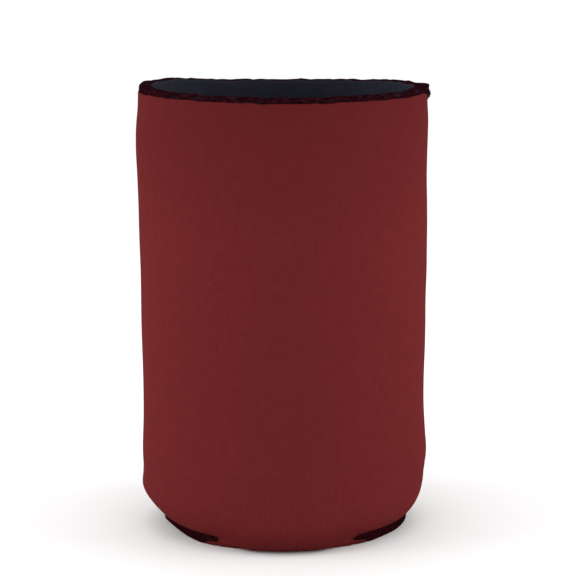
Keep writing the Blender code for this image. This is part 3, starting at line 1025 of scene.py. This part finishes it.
def bumped(tree, shader, height, depth):
    """Raises the surface by this height, which runs from 0 to 1, times the depth in metres."""
    node = tree.nodes.new("ShaderNodeBump")
    node.inputs["Strength"].default_value = 1.0
    node.inputs["Distance"].default_value = depth
    tree.links.new(height, node.inputs["Height"])
    tree.links.new(node.outputs["Normal"], shader.inputs["Normal"])


# %% Knit of small V stitches
WALE = 0.00060
COURSE = 0.00054
YARN_WANDER = 0.00030
YARN_WANDER_SCALE = 260.0
LEG_SLANT = 1.3
STITCH_HOLLOW = 0.7


def knit_height(tree):
    """Height of a jersey's stitches, 0 in the gaps to 1 on the yarn, and the place on the blank."""
    attribute = tree.nodes.new("ShaderNodeAttribute")
    attribute.attribute_name = "blank"
    place = attribute.outputs["Vector"]
    parts = tree.nodes.new("ShaderNodeSeparateXYZ")
    tree.links.new(place, parts.inputs[0])
    wander = math_of(tree, "MULTIPLY", noise_of(tree, place, YARN_WANDER_SCALE), YARN_WANDER)
    across = math_of(tree, "DIVIDE", math_of(tree, "ADD", parts.outputs["X"], wander), WALE)
    leg = math_of(tree, "ABSOLUTE", math_of(tree, "SUBTRACT", math_of(tree, "FRACT", across), 0.5))
    ridge = math_of(tree, "SUBTRACT", math_of(tree, "MULTIPLY", leg, 4.0), 1.0)
    ridge = math_of(tree, "SUBTRACT", 1.0, math_of(tree, "MULTIPLY", ridge, ridge))
    down = math_of(tree, "DIVIDE", math_of(tree, "ADD", parts.outputs["Y"], wander), COURSE)
    slanted = math_of(tree, "SUBTRACT", down, math_of(tree, "MULTIPLY", leg, LEG_SLANT))
    phase = math_of(tree, "FRACT", slanted)
    stitch = math_of(tree, "SUBTRACT", math_of(tree, "MULTIPLY", phase, 2.0), 1.0)
    squared = math_of(tree, "MULTIPLY", stitch, stitch)
    stitch = math_of(tree, "SUBTRACT", 1.0, math_of(tree, "MULTIPLY", squared, STITCH_HOLLOW))
    return math_of(tree, "MULTIPLY", ridge, stitch), place


# %% [markdown]
# In three places the jersey's colour is mixed towards the dark of its gaps: over the round fold at the
# front and the back, along the curled rim of the base, and towards the mouth. This is painted shade,
# darker low on the heel and along the rim, and a little darker towards the top of the wall. Ranges on the
# flat-blank place find all three, so no mask image is needed. They are measured from the middle of the
# base: along the blank, across it, or straight out for the rim.

# %% Painted shade on the jersey
FOLD_PAINTED_SHADE = 0.36
MOUTH_PAINTED_SHADE = 0.30
RIM_PAINTED_SHADE = 0.85
FOLD_STARTS = (0.0285, 0.0345)
FOLD_ENDS = (0.0368, 0.0432)
FOLD_BESIDE = (0.0145, 0.0205)
RIM_STARTS = (0.0285, 0.0302)
BASE_ENDS = (0.0262, 0.0280)
MOUTH_STARTS = (0.1130, 0.1470)


def painted_shade_share(tree, place):
    """How much painted shade: on the round folds, along the curled rim and towards the mouth."""
    parts = tree.nodes.new("ShaderNodeSeparateXYZ")
    tree.links.new(place, parts.inputs[0])
    from_centre = math_of(tree, "SUBTRACT", parts.outputs["Y"], cloth_length + BASE_RADIUS)
    from_centre = math_of(tree, "ABSOLUTE", from_centre)
    rising = ranged(tree, from_centre, *FOLD_STARTS, 0.0, FOLD_PAINTED_SHADE)
    falling = ranged(tree, from_centre, *FOLD_ENDS, 1.0, 0.0)
    beside = ranged(tree, math_of(tree, "ABSOLUTE", parts.outputs["X"]), *FOLD_BESIDE, 1.0, 0.0)
    shade_at_fold = math_of(tree, "MULTIPLY", math_of(tree, "MULTIPLY", rising, falling), beside)
    squares = [math_of(tree, "MULTIPLY", side, side) for side in (parts.outputs["X"], from_centre)]
    from_middle = math_of(tree, "SQRT", math_of(tree, "ADD", *squares))
    in_base = ranged(tree, from_centre, *BASE_ENDS, 1.0, 0.0)
    shade_at_rim = math_of(tree, "MULTIPLY", ranged(tree, from_middle, *RIM_STARTS, 0.0, RIM_PAINTED_SHADE), in_base)
    shade_below = math_of(tree, "ADD", shade_at_fold, shade_at_rim)
    return math_of(tree, "ADD", shade_below, ranged(tree, from_centre, *MOUTH_STARTS, 0.0, MOUTH_PAINTED_SHADE))


# %% Maroon jersey
MAROON = (0.111, 0.0132, 0.0139)
YARN = (0.143, 0.0180, 0.0190)
GAPS = (0.046, 0.0052, 0.0056)
HEATHER = (0.145, 0.0196, 0.0206)
CLOUDS = (0.088, 0.0104, 0.0109)
LINT = (0.25, 0.10, 0.10)


def maroon_jersey():
    """Matt jersey: a faint knit, a heathered shade, specks of lint, and painted shade."""
    material, tree, shader = new_finish("maroon_jersey", MAROON, 0.88)
    shader.inputs["Specular IOR Level"].default_value = 0.008
    shader.inputs["Sheen Weight"].default_value = 0.05
    shader.inputs["Sheen Roughness"].default_value = 0.45
    shader.inputs["Sheen Tint"].default_value = (0.62, 0.07, 0.075, 1.0)
    knit, place = knit_height(tree)
    shade = blended(tree, ranged(tree, knit, 0.0, 0.75, 0.0, 1.0), GAPS, YARN)
    shade = flecked(tree, place, shade, HEATHER, 0.25, noise=(420.0, 3.0, 0.6), edge=(0.35, 0.65))
    shade = flecked(tree, place, shade, CLOUDS, 0.15, noise=(38.0, 3.0, 0.55), edge=(0.3, 0.7))
    shade = flecked(tree, place, shade, LINT, 0.20, noise=(1500.0, 1.0, 0.5), edge=(0.745, 0.80))
    # Painted shade: the jersey is mixed towards its gap colour on the folds, along the rim and towards the
    # mouth.
    shade = blended(tree, painted_shade_share(tree, place), shade, GAPS)
    tree.links.new(shade, shader.inputs["Base Color"])
    fuzz = noise_of(tree, place, 1900.0, 2.0, 0.6)
    swell = noise_of(tree, place, 120.0, 2.0, 0.5)
    height = math_of(tree, "ADD", math_of(tree, "MULTIPLY", knit, 0.6), math_of(tree, "MULTIPLY", fuzz, 0.4))
    height = math_of(tree, "ADD", height, math_of(tree, "MULTIPLY", swell, 0.8))
    bumped(tree, shader, height, depth=0.00009)
    return material


jersey_finish = maroon_jersey()
print("nodes of the jersey:", len(jersey_finish.node_tree.nodes))

# %% [markdown]
# Cut foam rubber is a black crumb of tiny cells. It drinks up light, so it needs pores and a very dark
# colour more than any shine. The knife drags the crumb into flat streaks, so the noise is squeezed along
# the height. It also drags a few fibres of both jerseys across the cut: maroon ones all along, and navy
# ones of the lining mostly at the mouth.

# %% Black foam at the cut edges
FOAM = (0.012, 0.0022, 0.0040)
PORES = (0.0050, 0.0009, 0.0014)
CRUMB = (0.0215, 0.0034, 0.0056)
NAVY_FIBRE = (0.0130, 0.0120, 0.0210)
MAROON_FIBRE = (0.060, 0.008, 0.010)
KNIFE_DRAG = (1.0, 1.0, 2.4)
NAVY_HEIGHTS = (0.05, 0.10)
NAVY_AMOUNTS = (0.05, 0.65)


def cut_foam():
    """A black crumb with pores, streaks and a few fibres."""
    material, tree, shader = new_finish("cut_foam", FOAM, 0.95)
    shader.inputs["Specular IOR Level"].default_value = 0.0
    place = tree.nodes.new("ShaderNodeNewGeometry").outputs["Position"]
    dragged = tree.nodes.new("ShaderNodeMapping")
    dragged.inputs["Scale"].default_value = KNIFE_DRAG
    tree.links.new(place, dragged.inputs["Vector"])
    streak = dragged.outputs["Vector"]
    cloud = noise_of(tree, streak, 900.0, 3.0, 0.6)
    shade = blended(tree, ranged(tree, cloud, 0.35, 0.65, 0.0, 1.0), PORES, CRUMB)
    parts = tree.nodes.new("ShaderNodeSeparateXYZ")
    tree.links.new(place, parts.inputs[0])
    navy = ranged(tree, parts.outputs["Z"], *NAVY_HEIGHTS, *NAVY_AMOUNTS)
    shade = flecked(tree, streak, shade, NAVY_FIBRE, navy, noise=(340.0, 3.0, 0.65), edge=(0.55, 0.66))
    shade = flecked(tree, place, shade, MAROON_FIBRE, 0.6, noise=(780.0, 2.0, 0.6), edge=(0.66, 0.74))
    tree.links.new(shade, shader.inputs["Base Color"])
    cells = tree.nodes.new("ShaderNodeTexVoronoi")
    cells.inputs["Scale"].default_value = 3600.0
    tree.links.new(place, cells.inputs["Vector"])
    height = math_of(tree, "ADD", math_of(tree, "MULTIPLY", cells.outputs["Distance"], 0.5), cloud)
    bumped(tree, shader, height, depth=0.00014)
    return material


foam_finish = cut_foam()
print("nodes of the foam:", len(foam_finish.node_tree.nodes))

# %% [markdown]
# The lining is the same knit in black, with a little blue in it. Not much light gets into the bore, so its
# yarn is a little lighter than the foam, and slightly paler patches keep it from looking like a hole.

# %% Black jersey of the lining
LINING_BLACK = (0.016, 0.016, 0.023)
LINING_GAPS = (0.0065, 0.0065, 0.0100)
LINING_YARN = (0.0235, 0.0235, 0.0360)
LINING_PATCHES = (0.0260, 0.0260, 0.0385)


def black_lining():
    """Matt black jersey with a faint blue."""
    material, tree, shader = new_finish("black_lining", LINING_BLACK, 0.90)
    shader.inputs["Specular IOR Level"].default_value = 0.03
    shader.inputs["Sheen Weight"].default_value = 0.06
    shader.inputs["Sheen Roughness"].default_value = 0.4
    shader.inputs["Sheen Tint"].default_value = (0.55, 0.55, 0.66, 1.0)
    knit, place = knit_height(tree)
    shade = blended(tree, ranged(tree, knit, 0.0, 0.8, 0.0, 1.0), LINING_GAPS, LINING_YARN)
    shade = flecked(tree, place, shade, LINING_PATCHES, 0.4, noise=(300.0, 3.0, 0.6), edge=(0.4, 0.7))
    tree.links.new(shade, shader.inputs["Base Color"])
    bumped(tree, shader, knit, depth=0.00008)
    return material


lining_finish = black_lining()
print("nodes of the lining:", len(lining_finish.node_tree.nodes))

# %% [markdown]
# Polyester sewing thread is smoother than the cloth, so it has a lower roughness. In the photograph it
# hardly shines, so its highlight stays faint. The lobes are already in its mesh; the nodes add the fine
# filaments.

# %% Black sewing thread
THREAD_BLACK = (0.008, 0.006, 0.008)
THREAD_DARK = (0.0045, 0.0020, 0.0025)
THREAD_LIGHT = (0.0120, 0.0056, 0.0066)


def sewing_thread():
    """Nearly black thread with fine filaments."""
    material, tree, shader = new_finish("sewing_thread", THREAD_BLACK, 0.62)
    shader.inputs["Specular IOR Level"].default_value = 0.04
    shader.inputs["Sheen Weight"].default_value = 0.010
    place = tree.nodes.new("ShaderNodeNewGeometry").outputs["Position"]
    filament = noise_of(tree, place, 9000.0, 2.0, 0.6)
    shade = blended(tree, ranged(tree, filament, 0.3, 0.7, 0.0, 1.0), THREAD_DARK, THREAD_LIGHT)
    tree.links.new(shade, shader.inputs["Base Color"])
    bumped(tree, shader, filament, depth=0.00003)
    return material


thread_finish = sewing_thread()
print("nodes of the thread:", len(thread_finish.node_tree.nodes))

# %% Finishes on the pieces
for finish in (jersey_finish, foam_finish, lining_finish):
    sleeve.data.materials.append(finish)
sleeve.data.polygons.foreach_set("material_index", sleeve_slots.astype(np.int32))
sleeve.data.update()
for thread in threads.values():
    thread.data.materials.append(thread_finish)
print("finishes:", [slot.name for slot in sleeve.data.materials], thread_finish.name)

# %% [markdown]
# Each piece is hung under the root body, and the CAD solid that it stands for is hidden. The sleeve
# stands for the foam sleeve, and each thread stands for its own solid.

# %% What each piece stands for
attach(sleeve, "root")
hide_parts("foam_sleeve")
for node, thread in threads.items():
    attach(thread, "root")
    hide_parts(node)

# %% [markdown]
# The stage is a wide pale floor under an even white sky, as in a catalogue picture. Two large soft lights
# stand beside the sleeve, a little in front of its middle: they brighten the fibres along its outline, and
# leave its front deeper.

# %% Stage and light
FLOOR_HALF = 20
FLOOR_WHITE = (0.87, 0.87, 0.87)
SKY_STRENGTH = 1.18
LIGHT_AIM = Vector((0, 0, 0.06))
LIGHT_SIZE = 0.6

around_floor = ((-1, -1), (1, -1), (1, 1), (-1, 1))
floor_corners = [(FLOOR_HALF * x, FLOOR_HALF * y, 0) for x, y in around_floor]
floor = mesh_piece("pale_floor", floor_corners, [(0, 1, 2, 3)])
floor_finish = new_finish("pale_floor", FLOOR_WHITE, 0.7)[0]
floor.data.materials.append(floor_finish)

world = bpy.data.worlds.new("even_sky")
world.use_nodes = True
sky = world.node_tree.nodes["Background"]
sky.inputs["Color"].default_value = (1.0, 1.0, 1.0, 1.0)
sky.inputs["Strength"].default_value = SKY_STRENGTH
bpy.context.scene.world = world
bpy.context.scene.view_settings.view_transform = "Standard"


def soft_light(name, place, power):
    """A square area light that faces the middle of the sleeve."""
    lamp = bpy.data.lights.new(name, "AREA")
    lamp.size = LIGHT_SIZE
    lamp.energy = power
    light = bpy.data.objects.new(name, lamp)
    light.location = place
    light.rotation_euler = (LIGHT_AIM - Vector(place)).to_track_quat("-Z", "Y").to_euler()
    bpy.context.scene.collection.objects.link(light)


soft_light("left_side_light", (-0.8, -0.1, 0.25), 3.4)
soft_light("right_side_light", (0.8, -0.1, 0.25), 3.2)
print("lights:", [light.name for light in bpy.data.lights])
